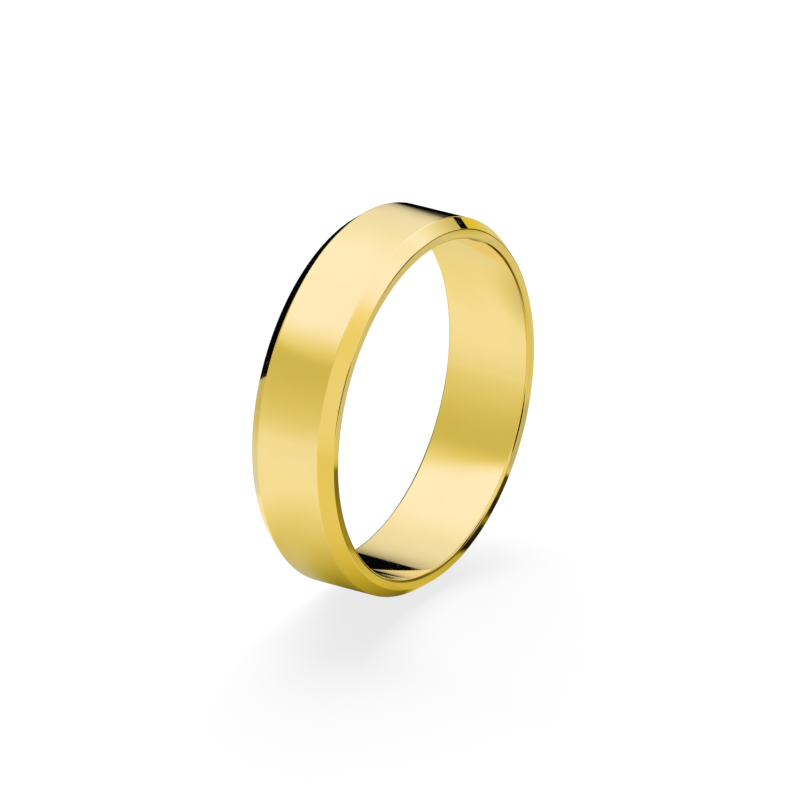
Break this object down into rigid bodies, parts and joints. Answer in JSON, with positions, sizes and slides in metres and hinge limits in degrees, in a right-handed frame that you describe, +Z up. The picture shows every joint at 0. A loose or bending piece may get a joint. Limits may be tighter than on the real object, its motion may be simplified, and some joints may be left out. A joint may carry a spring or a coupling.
{
  "type": "wedding band",
  "caption": "Plain polished yellow gold ring with a flat outer face, a narrow bevel along each side and a smooth round bore.",
  "frame": {"origin": "centre of the finger hole, halfway across the band's width", "axes": "+Y along the ring's axis; the ring stands upright on its rim with +Z up; +X completes the frame"},
  "size_m": [0.02, 0.005, 0.02],
  "materials": {
    "gold": "mirror-polished 18 ct yellow gold"
  },
  "bodies": {
    "root": {"band": "gold"}
  },
  "joints": []
}
